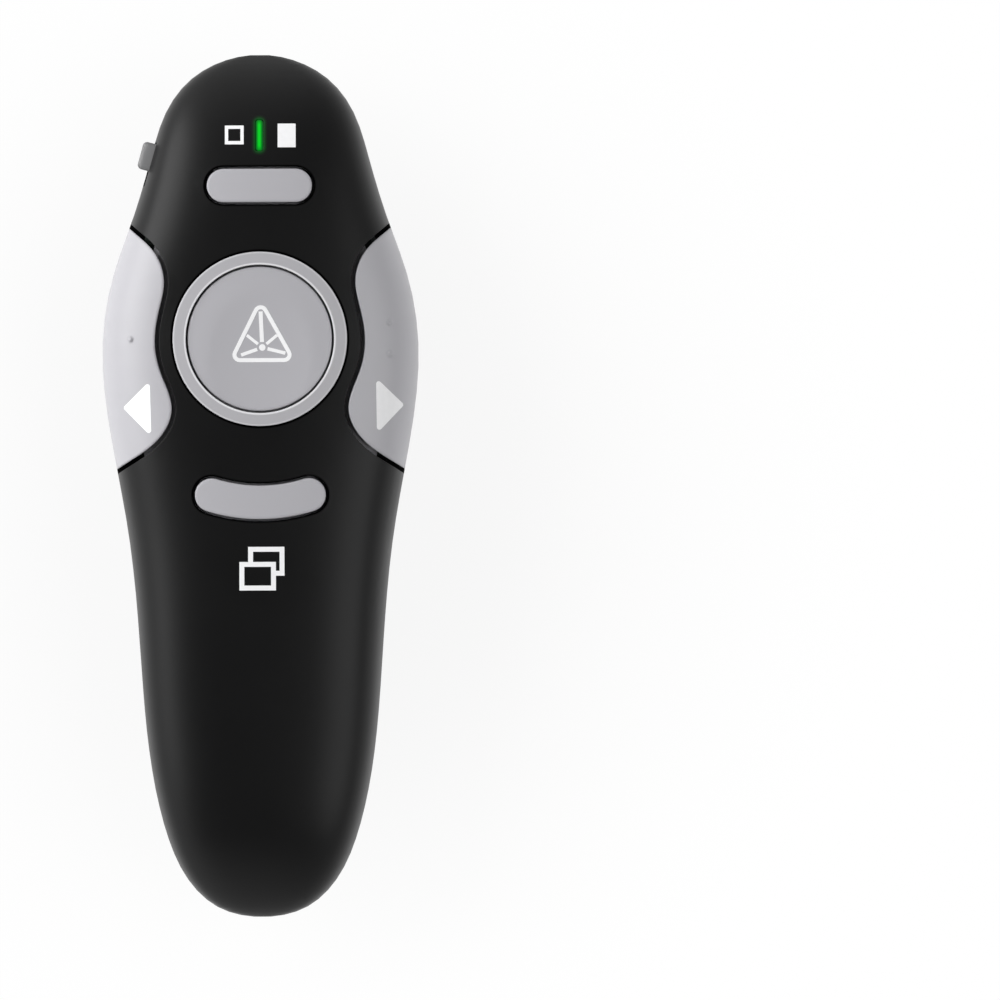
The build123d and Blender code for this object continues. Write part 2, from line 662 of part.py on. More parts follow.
def make_side_key():
    """The right key: a piece of the body's wall that rocks on two pins near its lower edge."""
    low = PARTING_Z + SIDE_KEY_LIFT
    shell = skin(prism(side_key_shape(), low, BIG), 0, SIDE_KEY_WALL)
    band = side_key_shape(SIDE_KEY_GAP + FLANGE_REACH) - side_key_shape(-FLANGE_REACH)
    tab = skin(prism(band, PLUNGER_TOP_Z - FLANGE_T, BIG), FLANGE_INSET, FLANGE_INSET + FLANGE_T)
    key = shell + tab
    inside = form(SIDE_KEY_WALL / 2)
    for end in (-1, 1):
        y = BUTTON_Y + end * LUG_SPACING / 2
        lug = block((SIDE_KEY_PIVOT_X - LUG_HALF_H, 2 * BODY_HALF_WIDTH), (y - LUG_T / 2, y + LUG_T / 2),
                    (SIDE_KEY_PIVOT_Z - LUG_HALF_H + KEY_GAP, SIDE_KEY_PIVOT_Z + LUG_HALF_H))
        inner_face = y - end * LUG_T / 2
        pin_end = inner_face - end * (LUG_T + KEY_GAP / 2)
        pin = rod(SIDE_KEY_PIN_R, SIDE_KEY_PIVOT_X, SIDE_KEY_PIVOT_Z,
                  min(y, pin_end), max(y, pin_end))
        key = key + (lug & inside) + pin
    nub = prism(Pos(SIDE_TACT_X, from_nose(SIDE_TACT_FROM_NOSE)) * Circle(STEM_R), PLUNGER_TOP_Z, BIG)
    return key + (nub & inside)


def bumps(places):
    """Small round studs square to a side key's surface, to find it by touch."""
    studs = []
    for x, y in places:
        hits = form(0).find_intersection_points(Axis((x, y, PARTING_Z), (0, 0, 1)))
        point, normal = max(hits, key=lambda hit: hit[0].Z)
        stud = Cone(BUMP_R, BUMP_TOP_R, 2 * BUMP_RISE)
        studs.append(Plane(origin=point, z_dir=normal) * stud)
    return studs


# ---------------------------------------------------------------- board and small parts
def tact_places():
    side_y = from_nose(SIDE_TACT_FROM_NOSE)
    return {"laser": (0, BUTTON_Y), "top": (0, TOP_KEY_Y),
            "lower": (0, from_nose(LOWER_TACT_FROM_NOSE)),
            "left": (-SIDE_TACT_X, side_y), "right": (SIDE_TACT_X, side_y)}


def make_main_board():
    span = block((-BIG, BIG), (from_nose(BOARD_BACK_FROM_NOSE), from_nose(BOARD_FRONT_FROM_NOSE)),
                 (BOARD_Z, BOARD_TOP_Z))
    board = form(TOP_WALL + BOARD_EDGE_GAP) & span
    return board - [prism(Pos(*place) * Circle(BOARD_SCREW_R + THREAD_GAP), BOARD_Z, BOARD_TOP_Z)
                    for place in board_post_places()]


def make_tact(place):
    body = prism(Pos(*place) * Rectangle(TACT_SIZE, TACT_SIZE), BOARD_TOP_Z, TACT_TOP_Z)
    bore = prism(Pos(*place) * Circle(PLUNGER_R + PLUNGER_GAP), BOARD_TOP_Z + TACT_FLOOR, BIG)
    return body - bore


def make_plunger(place):
    return prism(Pos(*place) * Circle(PLUNGER_R), PLUNGER_Z, PLUNGER_TOP_Z)


def make_board_screw(place):
    head = prism(Pos(*place) * Circle(BOARD_SCREW_HEAD_R), BOARD_Z - BOARD_SCREW_HEAD_H, BOARD_Z)
    return head + prism(Pos(*place) * Circle(BOARD_SCREW_R), BOARD_Z, BOARD_Z + BOARD_SCREW_LENGTH)


def make_housing_screw():
    """Cross-head screw that holds the two shells together at the tail."""
    place = Pos(0, SHELL_SCREW_Y)
    low = SCREW_SEAT_Z - SHELL_SCREW_HEAD_H
    head = prism(place * Circle(SHELL_SCREW_HEAD_R), low, SCREW_SEAT_Z)
    cross = Rectangle(SHELL_SCREW_HEAD_R * 1.3, 0.5) + Rectangle(0.5, SHELL_SCREW_HEAD_R * 1.3)
    shank = prism(place * Circle(SHELL_SCREW_R), SCREW_SEAT_Z,
                  SCREW_SEAT_Z + 7.5)
    return (head - prism(place * cross, low, low + SHELL_SCREW_HEAD_H / 2)) + shank


def make_led_lens():
    """Light pipe that stands on the lamp and ends flush with the upper shell."""
    return led_slot() & form(0)


def on_board(shape, height):
    return prism(shape, BOARD_TOP_Z, BOARD_TOP_Z + height)


# ---------------------------------------------------------------- power switch
def make_knob():
    half = KNOB_LENGTH / 2
    knob = at_switch((-half, half), (-KNOB_STANDS_OUT, KNOB_DEPTH - KNOB_STANDS_OUT),
                     (-KNOB_HEIGHT / 2, KNOB_HEIGHT / 2))
    outer_edges = knob.edges().filter_by(Axis.Z).sort_by(Axis.X)[:2]
    return fillet(outer_edges, KNOB_HEIGHT / 3)


def make_slider():
    start = KNOB_DEPTH - KNOB_STANDS_OUT
    half = SLIDER_LENGTH / 2
    return at_switch((-half, half), (start, start + SLIDER_DEPTH),
                     (-SLIDER_HEIGHT / 2, SLIDER_HEIGHT / 2))


def make_switch_body():
    start = KNOB_DEPTH - KNOB_STANDS_OUT + KNOB_GAP
    middle = SWITCH_TRAVEL / 2
    half = SWITCH_BODY_LENGTH / 2
    slot_half = (SLIDER_LENGTH + SWITCH_TRAVEL) / 2 + KNOB_GAP
    top = BOARD_Z - SWITCH_Z
    body = at_switch((middle - half, middle + half), (start, start + SWITCH_BODY_DEPTH),
                     (top - SWITCH_BODY_HEIGHT, top))
    return body - at_switch((middle - slot_half, middle + slot_half),
                            (start - KNOB_GAP, start + SLIDER_DEPTH),
                            (-SLIDER_HEIGHT / 2 - KNOB_GAP, SLIDER_HEIGHT / 2 + KNOB_GAP))


# ---------------------------------------------------------------- laser pointer
def make_laser_barrel():
    barrel = rod(LASER_R, 0, LASER_Z, LASER_FRONT_Y - LASER_LENGTH, LASER_FRONT_Y)
    return barrel - rod(LASER_BORE_R, 0, LASER_Z, LASER_FRONT_Y - 2 * LENS_T, LASER_FRONT_Y + 1)


def make_laser_lens():
    return rod(LASER_BORE_R - LENS_GAP, 0, LASER_Z, LASER_FRONT_Y - 1.5 * LENS_T,
               LASER_FRONT_Y - LENS_T / 2)


def make_laser_window():
    front = from_nose(LASER_WINDOW_FROM_NOSE)
    return rod(LASER_WINDOW_R, 0, LASER_Z, front - LASER_WINDOW_T, front)


def make_laser_board():
    back = LASER_FRONT_Y - LASER_LENGTH
    half = LASER_BOARD_WIDTH / 2
    return block((-half, half), (back - LASER_BOARD_T, back), (LASER_Z - LASER_R, BOARD_Z))


# ---------------------------------------------------------------- battery contacts
def make_spring():
    """Cone-shaped coil on the bay's front wall, drawn at its working height."""
    height = SPRING_WORKING_LENGTH - 2 * SPRING_WIRE_R - CONTACT_T
    start = BAY_FRONT_Y - CONTACT_T - SPRING_WIRE_R
    turns = int(SPRING_TURNS * 2)
    wires = []
    for half_turn in range(turns):
        radius = SPRING_BIG_R + (SPRING_SMALL_R - SPRING_BIG_R) * half_turn / (turns - 1)
        wires.append((radius, start - height * half_turn / (turns - 1)))
    wire = RegularPolygon(SPRING_WIRE_R, 6)
    return [Pos(CELL_X, y, CELL_Z) * Rot(90, 0, 0) * revolve(Plane.XZ * Pos(radius, 0) * wire, Axis.Z)
            for radius, y in wires]


def make_contact(wall_y, into):
    """Contact plate on a wall of the bay; into is the direction that it faces."""
    half = CONTACT_SIZE / 2
    low, high = sorted((wall_y, wall_y + into * CONTACT_T))
    return block((CELL_X - half, CELL_X + half), (low, high), (CELL_Z - half, CELL_Z + half))


# ---------------------------------------------------------------- receiver
def make_receiver_cap():
    half = CAP_WIDTH / 2
    half_h = CAP_HEIGHT / 2
    cap = block((RECEIVER_X - half, RECEIVER_X + half), (CAP_BACK_Y, CAP_FRONT_Y),
                (RECEIVER_Z - half_h, RECEIVER_Z + half_h))
    cap = chamfer(cap.edges().filter_by(Axis.Y), CAP_CHAMFER)
    groove = Pos(half, 0) * Rot(0, 0, 45) * Rectangle(CAP_GROOVE_DEPTH * sqrt(2), CAP_GROOVE_DEPTH * sqrt(2))
    middle_y = (CAP_BACK_Y + CAP_FRONT_Y) / 2
    for step in range(CAP_GROOVES):
        y = middle_y + (step - (CAP_GROOVES - 1) / 2) * CAP_GROOVE_PITCH
        for side in (-1, 1):
            cut = Pos(RECEIVER_X, y) * Rot(0, 0, 90 - 90 * side) * groove
            cap = cap - prism(cut, RECEIVER_Z - CAP_HEIGHT, RECEIVER_Z + CAP_HEIGHT)
    strip = (half - CAP_PANEL_WIDTH / 2)
    for side in (-1, 1):
        x = RECEIVER_X + side * (CAP_PANEL_WIDTH / 2 + strip)
        for up in (-1, 1):
            z = RECEIVER_Z + up * half_h
            cap = cap - block((x - strip, x + strip), (CAP_BACK_Y - 1, CAP_FRONT_Y + 1),
                              (z - CAP_PANEL_RISE, z + CAP_PANEL_RISE))
    return cap - plug_block(PIN_GAP, CAP_FRONT_Y - PLUG_ROOT, CAP_FRONT_Y + 1)


def plug_block(grow, back, front):
    return block((RECEIVER_X - PLUG_WIDTH / 2 - grow, RECEIVER_X + PLUG_WIDTH / 2 + grow), (back, front),
                 (RECEIVER_Z - PLUG_HEIGHT / 2 - grow, RECEIVER_Z + PLUG_HEIGHT / 2 + grow))


def make_receiver_shell():
    """Stamped steel sleeve with two latch windows on each broad face."""
    tip = CAP_FRONT_Y + PLUG_LENGTH
    shell = plug_block(0, CAP_FRONT_Y - PLUG_ROOT, tip)
    shell = fillet(shell.edges().filter_by(Axis.Y), PLUG_SHEET)
    shell = shell - plug_block(-PLUG_SHEET, CAP_FRONT_Y - PLUG_ROOT - 1, tip + 1)
    for side in (-1, 1):
        window = Pos(RECEIVER_X + side * PLUG_WINDOW_SPACING / 2, tip - PLUG_WINDOW_FROM_TIP)
        shell = shell - prism(window * Rectangle(PLUG_WINDOW, PLUG_WINDOW), 0, 2 * RECEIVER_Z)
    return shell


def make_receiver_insulator():
    tip = CAP_FRONT_Y + PLUG_LENGTH - 0.4
    half = PLUG_WIDTH / 2 - PLUG_SHEET - PIN_GAP
    top = RECEIVER_Z + PLUG_HEIGHT / 2 - PLUG_SHEET - PIN_GAP
    return block((RECEIVER_X - half, RECEIVER_X + half), (CAP_FRONT_Y - PLUG_ROOT, tip), (top - 1.8, top))


def make_receiver_contacts():
    tip = CAP_FRONT_Y + PLUG_LENGTH - 1.2
    top = RECEIVER_Z + PLUG_HEIGHT / 2 - PLUG_SHEET - PIN_GAP - 1.8
    strips = []
    for x in (-3.5, -1.0, 1.0, 3.5):
        strips.append(block((RECEIVER_X + x - 0.5, RECEIVER_X + x + 0.5), (CAP_FRONT_Y, tip),
                            (top - 0.25, top)))
    return strips


# ---------------------------------------------------------------- every node by name
def build():
    tacts = tact_places()
    side_key = make_side_key()
    right_bumps = bumps([(BUMP_FROM_MIDDLE, BUTTON_Y + side * BUMP_SPACING / 2) for side in (-1, 1)])
    left_bumps = bumps([(-BUMP_FROM_MIDDLE, BUTTON_Y)])
    return {
        "top_housing": make_top_housing(),
        "lower_housing": make_lower_housing(),
        "battery_cover": make_battery_cover(),
        "housing_screw": make_housing_screw(),
        "laser_button": make_laser_button(),
        "button_ring": make_button_ring(),
        "top_key": make_top_key(),
        "lower_key": make_lower_key(),
        "left_key": side_key.mirror(Plane.YZ) + left_bumps,
        "right_key": side_key + right_bumps,
        "switch_knob": make_knob(),
        "switch_slider": make_slider(),
        "slide_switch_body": make_switch_body(),
        "led_lens": make_led_lens(),
        "led_chip": on_board(Pos(0, from_nose(LED_FROM_NOSE)) * Rectangle(LED_WIDTH, LED_LENGTH / 2),
                             LED_CHIP_H),
        "main_board": make_main_board(),
        "tact_switches": [make_tact(place) for place in tacts.values()],
        "laser_plunger": make_plunger(tacts["laser"]),
        "top_plunger": make_plunger(tacts["top"]),
        "lower_plunger": make_plunger(tacts["lower"]),
        "left_plunger": make_plunger(tacts["left"]),
        "right_plunger": make_plunger(tacts["right"]),
        "radio_chip": on_board(Pos(POST_X, TOP_KEY_Y) * Rectangle(CHIP_SIZE, CHIP_SIZE), CHIP_H),
        "crystal": on_board(Pos(-POST_X, TOP_KEY_Y) * RectangleRounded(CRYSTAL_WIDTH, CRYSTAL_LENGTH, 1.0),
                            CRYSTAL_H),
        "inductor": on_board(Pos(POST_X - COIL_R, BUTTON_Y + BUTTON_R / 2) * Circle(COIL_R), COIL_H),
        "board_screws": [make_board_screw(place) for place in board_post_places()],
        "laser_barrel": make_laser_barrel(),
        "laser_lens": make_laser_lens(),
        "laser_window": make_laser_window(),
        "laser_board": make_laser_board(),
        "minus_contact": make_contact(BAY_FRONT_Y, -1),
        "plus_contact": make_contact(BAY_BACK_Y, 1),
        "battery_spring": make_spring(),
        "receiver_cap": make_receiver_cap(),
        "receiver_shell": make_receiver_shell(),
        "receiver_insulator": make_receiver_insulator(),
        "receiver_contacts": make_receiver_contacts(),
    }


def solids_of(piece):
    """The separate solids of a node, whether it was built as one piece or as a list."""
    pieces = piece if isinstance(piece, list) else [piece]
    return [solid for one in pieces for solid in one.solids()]


for name, piece in build().items():
    solids = solids_of(piece)
    export_step(solids[0] if len(solids) == 1 else Compound(solids), f"parts/{name}.step")
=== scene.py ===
"""Looks of a wireless presentation clicker: finishes, smooth skins, printed legends and the wound spring."""
import math

import bmesh
import bpy
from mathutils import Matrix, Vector
from mathutils.bvhtree import BVHTree
from mathutils.geometry import delaunay_2d_cdt


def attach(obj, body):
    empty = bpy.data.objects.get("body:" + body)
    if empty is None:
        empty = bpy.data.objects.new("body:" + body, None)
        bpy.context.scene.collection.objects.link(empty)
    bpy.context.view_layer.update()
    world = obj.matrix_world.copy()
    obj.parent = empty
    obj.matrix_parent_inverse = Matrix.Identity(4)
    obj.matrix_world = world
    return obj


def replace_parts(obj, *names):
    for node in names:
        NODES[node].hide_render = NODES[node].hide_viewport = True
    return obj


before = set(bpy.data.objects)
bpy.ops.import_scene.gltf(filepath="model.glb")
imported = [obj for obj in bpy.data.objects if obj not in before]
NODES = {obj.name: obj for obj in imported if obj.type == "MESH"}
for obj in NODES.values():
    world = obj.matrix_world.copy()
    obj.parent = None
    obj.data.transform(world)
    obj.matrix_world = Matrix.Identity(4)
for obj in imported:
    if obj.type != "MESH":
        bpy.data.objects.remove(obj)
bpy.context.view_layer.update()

MM = 0.001
GRAIN = 5200.0              # noise scale of the fine moulded grain, per metre

# Places and sizes, in millimetres: x across to the right, y along to the nose, z up.
SEAM_Z = 14.0               # height of the seam between the two shells
BUTTON_Y = 20.4             # middle of the round button, on the centre line
RING_IN_R, RING_OUT_R = 10.3, 12.1
TOP_KEY_Y, TOP_KEY_STRAIGHT = 41.7, 4.975       # middle of the front key, half its straight length
LOWER_KEY_R, LOWER_KEY_ANGLE = 22.7, math.radians(17.3)     # rear key's middle line, about the button
KEY_EDGE = 2.325 + 0.3      # from the middle line of either of these keys to the edge of its opening
MIDDLE_OPENINGS = (10.7, -7.6, 45.6)    # reach across, rear and front of the openings on the centre line
FLANK_OPENINGS = (17.3, 3.4, 36.0)      # the same for the flank keys' openings
LAMP_Y, LAMP_HALF = 48.7, 2.1           # middle of the lamp's window, half its length
COVER_EDGE_Y, COVER_EDGE_REACH = -16.0, 33.4    # the cover's front edge: an ellipse, seen from the side
PIT_HALF, PIT_FRONT_Y, PIT_FLOOR_Z = 16.0, 23.0, 9.4        # the lower shell's core, round bay and socket
PLUG_X, PLUG_Y = 7.0, -8.2              # middle of the plug where it enters its cap
CELL_X, CELL_Z = -6.0, 15.2             # the cell's axis
CELL_FRONT_Y, CELL_BACK_Y = 2.2, -45.8
SPRING_Y = 1.9                          # large end of the spring
INK = 0.02                              # thickness of the printed legends
SIGN_INK = 0.05                         # thickness of the signs in the bay
LENGTHWISE = (1.0, 0.05, 1.0)           # stretches a grain into lines along y
FLATWISE = (0.05, 0.05, 1.0)            # stretches a grain flat, like the layers of a winding


# ---------------------------------------------------------------- shader writing
class Wire:
    """One output of a shader node. Arithmetic on it adds Math nodes."""

    def __init__(self, wiring, socket):
        self.wiring, self.socket = wiring, socket

    def math(self, operation, *operands):
        return self.wiring.node("ShaderNodeMath", {"operation": operation}, dict(enumerate(operands)))

    def __add__(self, other):
        return self.math("ADD", self, other)

    __radd__ = __add__

    def __sub__(self, other):
        return self.math("SUBTRACT", self, other)

    def __rsub__(self, other):
        return self.math("SUBTRACT", other, self)

    def __mul__(self, other):
        return self.math("MULTIPLY", self, other)

    __rmul__ = __mul__

    def __pow__(self, other):
        return self.math("POWER", self, other)

    def __abs__(self):
        return self.math("ABSOLUTE", self)

    def cosine(self):
        return self.math("COSINE", self)

    def most(self, other):
        """The larger of two values."""
        return self.math("MAXIMUM", self, other)

    def ramp(self, zero, one):
        """Smooth step from 0 at the first value to 1 at the second, which may be the smaller one."""
        step = self.wiring.node("ShaderNodeMapRange", {"interpolation_type": "SMOOTHSTEP"},
                                {"Value": self, "From Min": min(zero, one), "From Max": max(zero, one)})
        return 1 - step if zero > one else step


class Wiring:
    """A node tree being written. node() adds any node and returns one of its outputs."""

    def __init__(self, tree):
        self.tree = tree
        tree.nodes.clear()

    def plug(self, socket, value):
        """Link or set one socket. Three numbers on a colour socket are an opaque colour."""
        if isinstance(value, Wire):
            self.tree.links.new(value.socket, socket)
        elif isinstance(value, (tuple, list)) and len(value) == 3 and socket.type == "RGBA":
            socket.default_value = (*value, 1.0)
        else:
            socket.default_value = value

    def node(self, kind, settings=None, inputs=None, output=0):
        """A new node with its settings made first, then the values or links of its sockets."""
        made = self.tree.nodes.new(kind)
        for key, value in (settings or {}).items():
            setattr(made, key, value)
        for key, value in (inputs or {}).items():
            self.plug(made.inputs[key], value)
        return Wire(self, made.outputs[output]) if made.outputs else made

    def split(self, vector):
        """The three parts of a vector."""
        first = self.node("ShaderNodeSeparateXYZ", inputs={0: vector})
        return [Wire(self, socket) for socket in first.socket.node.outputs]


class Finish(Wiring):
    """A material being written. surface() sets its main shader."""

    def __init__(self, name, **values):
        self.material = bpy.data.materials.new(name)
        self.material.use_nodes = True
        super().__init__(self.material.node_tree)
        made = self.node("ShaderNodeBsdfPrincipled")
        self.shader = made.socket.node
        self.node("ShaderNodeOutputMaterial", inputs={"Surface": made})
        self.surface(**values)

    def surface(self, **values):
        """Set or link sockets of the main shader, named with _ for each space."""
        for key, value in values.items():
            self.plug(self.shader.inputs[key.replace("_", " ")], value)

    def feeds(self, name):
        """What is linked to a socket of the main shader."""
        return Wire(self, self.shader.inputs[name].links[0].from_socket)

    def place(self):
        """Object coordinates, in metres."""
        return self.node("ShaderNodeTexCoord", output="Object")

    def axes(self):
        """Object coordinates across, along and up, in millimetres."""
        return [part * (1 / MM) for part in self.split(self.place())]

    def noise(self, scale, detail, place=None):
        """Cloudy grain from 0 to 1, with its scale per metre."""
        return self.node("ShaderNodeTexNoise", inputs={
            "Vector": place or self.place(), "Scale": scale, "Detail": detail})

    def mix(self, factor, first, second):
        """A blend of two colours."""
        return self.node("ShaderNodeMix", {"data_type": "RGBA"}, {0: factor, 6: first, 7: second}, output=2)

    def bump(self, height, distance, strength, normal):
        """Normals tilted by a height. A height of 1 is the distance, in metres."""
        return self.node("ShaderNodeBump", inputs={
            "Height": height, "Distance": distance, "Strength": strength, "Normal": normal})

    def soft_edge(self, radius):
        """Normals rounded over sharp edges, by a radius in millimetres."""
        return self.node("ShaderNodeBevel", {"samples": 6}, {"Radius": radius * MM})


def span(across, along):
    """Length of a flat step, from its two parts."""
    return (across * across + along * along) ** 0.5


def shades(colour, down, up):
    """A darker and a lighter shade of a colour."""
    return tuple(c * down for c in colour), tuple(c * up for c in colour)


def moulded(name, colour, roughness, grain=6e-6, edge=0.15):
    """Plastic with a fine eroded grain, faint cloudiness and rounded edges."""
    finish = Finish(name)
    cloud = finish.noise(90.0, 2.0)
    fine = finish.noise(GRAIN, 2.0)
    finish.surface(Base_Color=finish.mix(cloud, *shades(colour, 0.86, 1.12)),
                   Roughness=roughness - 0.04 + cloud * 0.08,
                   Normal=finish.bump(fine, grain, 0.5, finish.soft_edge(edge)))
    return finish


def within(x, y, region):
    """1 over a region on both sides of the centre line, with a narrow soft border."""
    reach, rear, front = region
    return abs(x).ramp(reach + 0.3, reach) * y.ramp(rear - 0.4, rear) * y.ramp(front + 0.4, front)


def rim(distance, edge):
    """1 up to the edge of an opening and a hair's breadth past it."""
    return distance.ramp(edge + 0.30, edge + 0.12)


def painted_gap_shade(finish, x, y):
    """Mask of painted shade: 1 on the steep sides of the key openings, and on a thin line round those on the
    centre line.
    """
    upward = finish.split(finish.node("ShaderNodeTexCoord", output="Normal"))[2]
    wall_shade = abs(upward).ramp(0.5, 0.3) * within(x, y, FLANK_OPENINGS).most(within(x, y, MIDDLE_OPENINGS))

    ahead = y - BUTTON_Y
    radius = span(x, ahead)
    ring = rim(radius, RING_OUT_R + 0.10)
    top_key = rim(span((abs(x) - TOP_KEY_STRAIGHT).most(0.0), y - TOP_KEY_Y), KEY_EDGE)

    # Distance to the rear key's arc: past its ends, the third side of a triangle of two radii.
    past = (abs(x.math("ARCTAN2", x, -1 * ahead)) - LOWER_KEY_ANGLE).most(0.0)
    squared = radius * radius + LOWER_KEY_R ** 2 - radius * past.cosine() * (2 * LOWER_KEY_R)
    lower_key = rim(squared ** 0.5, KEY_EDGE)
    return wall_shade.most(top_key.most(lower_key)).most(ring)


def soft_black():
    """Rubbery black paint: dark seam line between the shells, painted shade in and round the key openings,
    green glow round the lamp's window.
    """
    finish = Finish("soft_touch_black", Specular_IOR_Level=0.22, Emission_Strength=1.0,
                    Sheen_Weight=0.02, Sheen_Roughness=0.5)
    x, y, z = finish.axes()
    seam = abs(z - SEAM_Z).ramp(0.11, 0.05)
    cloud = finish.noise(70.0, 3.0)
    fine = finish.noise(GRAIN, 2.0)
    rubbed = finish.noise(700.0, 4.0).ramp(0.62, 0.8)
    paint = finish.mix(cloud, (0.0026, 0.0026, 0.0028), (0.0034, 0.0034, 0.0036))
    # Painted shade: the sides of the key openings and a thin line round them are made pure black and
    # metallic, so that they show no light and the dark lines round the keys look wider.
    gap_shade = painted_gap_shade(finish, x, y) * z.ramp(SEAM_Z + 0.3, SEAM_Z + 0.6)

    lamp_end = LAMP_HALF - 0.4
    halo = span(x, (abs(y - LAMP_Y) - lamp_end).most(0.0)).ramp(1.35, 0.30)
    outer_skin = z.ramp(17.5, 18.5)
    glow = halo * halo * outer_skin
    finish.surface(Base_Color=finish.mix(seam.most(gap_shade), paint, (0.0, 0.0, 0.0)), Metallic=gap_shade,
                   Roughness=0.42 + (cloud - 0.5) * 0.08 - rubbed * 0.04,
                   Emission_Color=finish.mix(glow, (0.0, 0.0, 0.0), (0.0003, 0.11, 0.011)),
                   Normal=finish.bump(fine - seam * 4.0, 6e-6, 0.5, finish.soft_edge(0.15)))
    return finish


def lamp_lens():
    """Light pipe, brightest along its middle."""
    finish = Finish("lamp_lens", Base_Color=(0.001, 0.02, 0.003), Roughness=0.3, Emission_Strength=1.0,
                    Specular_IOR_Level=0.2)
    x, y, _ = finish.axes()
    core = abs(x).ramp(0.42, 0.06) * abs(y - LAMP_Y).ramp(LAMP_HALF + 0.3, LAMP_HALF - 0.8)
    finish.surface(Emission_Color=finish.mix(core, (0.0005, 0.12, 0.010), (0.001, 0.62, 0.017)))
    return finish


def satin_silver(name, colour, roughness, edge):
    """Silver-grey satin paint with fine flakes."""
    finish = Finish(name, Specular_IOR_Level=0.4)
    flakes = finish.noise(9000.0, 1.0)
    cloud = finish.noise(120.0, 2.0)
    shade = (flakes - 0.5) * 0.10 + (cloud - 0.5) * 0.05 + 0.5
    finish.surface(Base_Color=finish.mix(shade, *shades(colour, 0.9, 1.1)),
                   Roughness=roughness + (cloud - 0.5) * 0.08,
                   Normal=finish.bump(flakes, 4e-6, 0.35, finish.soft_edge(edge)))
    return finish


def ring_silver():
    """The same paint, with painted highlights: lighter along the ring's inner rim and a little along its
    outer one.
    """
    finish = satin_silver("satin_silver_ring", (0.435, 0.43, 0.45), 0.36, 0.25)
    x, y, _ = finish.axes()
    radius = span(x, y - BUTTON_Y)
    # Painted highlight: the paint is lighter in thin bands along the ring's rims, where its rounded edges
    # catch the light.
    inner = radius.ramp(RING_IN_R + 0.34, RING_IN_R + 0.16)
    outer = radius.ramp(RING_OUT_R - 0.30, RING_OUT_R - 0.14) * 0.4
    finish.surface(Base_Color=finish.mix(inner.most(outer), finish.feeds("Base Color"), (0.78, 0.78, 0.80)))
    return finish


def metal(name, colour, roughness, stretch=(1.0, 1.0, 1.0)):
    """Lightly stained metal with a fine grain, which a stretch draws out into lines."""
    finish = Finish(name, Metallic=1.0)
    lines = finish.noise(4000.0, 3.0, finish.node("ShaderNodeMapping", inputs={
        "Vector": finish.place(), "Scale": stretch}))
    stain = finish.noise(300.0, 3.0)
    finish.surface(Base_Color=finish.mix(stain, *shades(colour, 0.88, 1.0)),
                   Roughness=roughness + (lines - 0.5) * 0.16,
                   Normal=finish.bump(lines, 4e-6, 0.4, finish.soft_edge(0.1)))
    return finish


def plug_steel():
    """Stamped steel of the plug, with the two locating dimples next to its cap, dented and darkened with
    painted shade.
    """
    finish = metal("plug_steel", (0.74, 0.74, 0.75), 0.24, LENGTHWISE)
    x, y, _ = finish.axes()
    half_spacing, from_cap, slimness = 2.5, 0.9, 1.7
    across = (abs(x - PLUG_X) - half_spacing) * slimness
    along = y - PLUG_Y - from_cap
    dimple_and_shade = (across ** 2.0 + along * along).ramp(0.95, 0.6)
    # Painted shade: the dimples are darkened in the colour, besides being dented by the bump.
    finish.surface(Base_Color=finish.mix(dimple_and_shade, finish.feeds("Base Color"), (0.16, 0.16, 0.17)),
                   Normal=finish.bump(1 - dimple_and_shade, 3e-4, 1.0, finish.feeds("Normal")))
    return finish


def circuit_board():
    """Black solder mask over copper tracks."""
    finish = Finish("solder_mask_black", Coat_Weight=0.3)
    tracks = finish.node("ShaderNodeTexBrick", inputs={
        "Vector": finish.place(), "Scale": 520.0, "Mortar Size": 0.06, "Mortar Smooth": 0.1,
        "Bias": 0.0, "Brick Width": 0.9, "Row Height": 0.35}, output="Fac")
    raised = finish.node("ShaderNodeBump", inputs={"Height": tracks, "Distance": 2e-5, "Strength": 0.6})
    finish.surface(Base_Color=finish.mix(tracks, (0.002, 0.008, 0.005), (0.006, 0.018, 0.012)),
                   Roughness=0.34 + tracks * 0.05, Normal=raised)
    return finish


def printed(name, colour):
    """Screen-printed ink, a little uneven."""
    finish = Finish(name, Specular_IOR_Level=0.3)
    patch = finish.noise(1500.0, 3.0)
    finish.surface(Base_Color=finish.mix(patch, *shades(colour, 0.95, 1.03)), Roughness=0.45 + patch * 0.1)
    return finish


BLACK = soft_black().material
GLOSS = moulded("moulded_gloss_black", (0.0045, 0.0045, 0.005), 0.14, grain=1e-6, edge=0.1).material
SILVER = satin_silver("satin_silver_keys", (0.44, 0.435, 0.46), 0.40, 0.55).material
KNOB = satin_silver("satin_silver_knob", (0.27, 0.27, 0.275), 0.34, 1.1).material
RING = ring_silver().material
STEEL = metal("bright_steel", (0.66, 0.66, 0.67), 0.22, LENGTHWISE).material
PLUG_STEEL = plug_steel().material
DARK_STEEL = metal("zinc_plated_steel", (0.44, 0.44, 0.45), 0.30).material
BRASS = metal("turned_brass", (0.68, 0.47, 0.18), 0.26).material
GOLD = metal("gold_plating", (0.86, 0.62, 0.22), 0.20, LENGTHWISE).material
COPPER = metal("copper_winding", (0.62, 0.27, 0.13), 0.36, FLATWISE).material
BOARD = circuit_board().material
LAMP = lamp_lens().material
WHITE_CHIP = moulded("lamp_body_white", (0.75, 0.75, 0.72), 0.4).material
INSULATOR = moulded("plug_tongue_green", (0.012, 0.10, 0.06), 0.35).material
GLASS = Finish("clear_lens", Base_Color=(0.95, 0.97, 1.0), Roughness=0.02,
               Transmission_Weight=1.0, IOR=1.5).material
WINDOW = Finish("smoked_window", Base_Color=(0.10, 0.008, 0.01), Roughness=0.06,
                Transmission_Weight=0.6, IOR=1.5, Coat_Weight=0.6, Coat_Roughness=0.04).material
WHITE_INK = printed("white_ink", (0.93, 0.93, 0.94)).material
GREY_INK = printed("grey_ink", (0.32, 0.32, 0.33)).material

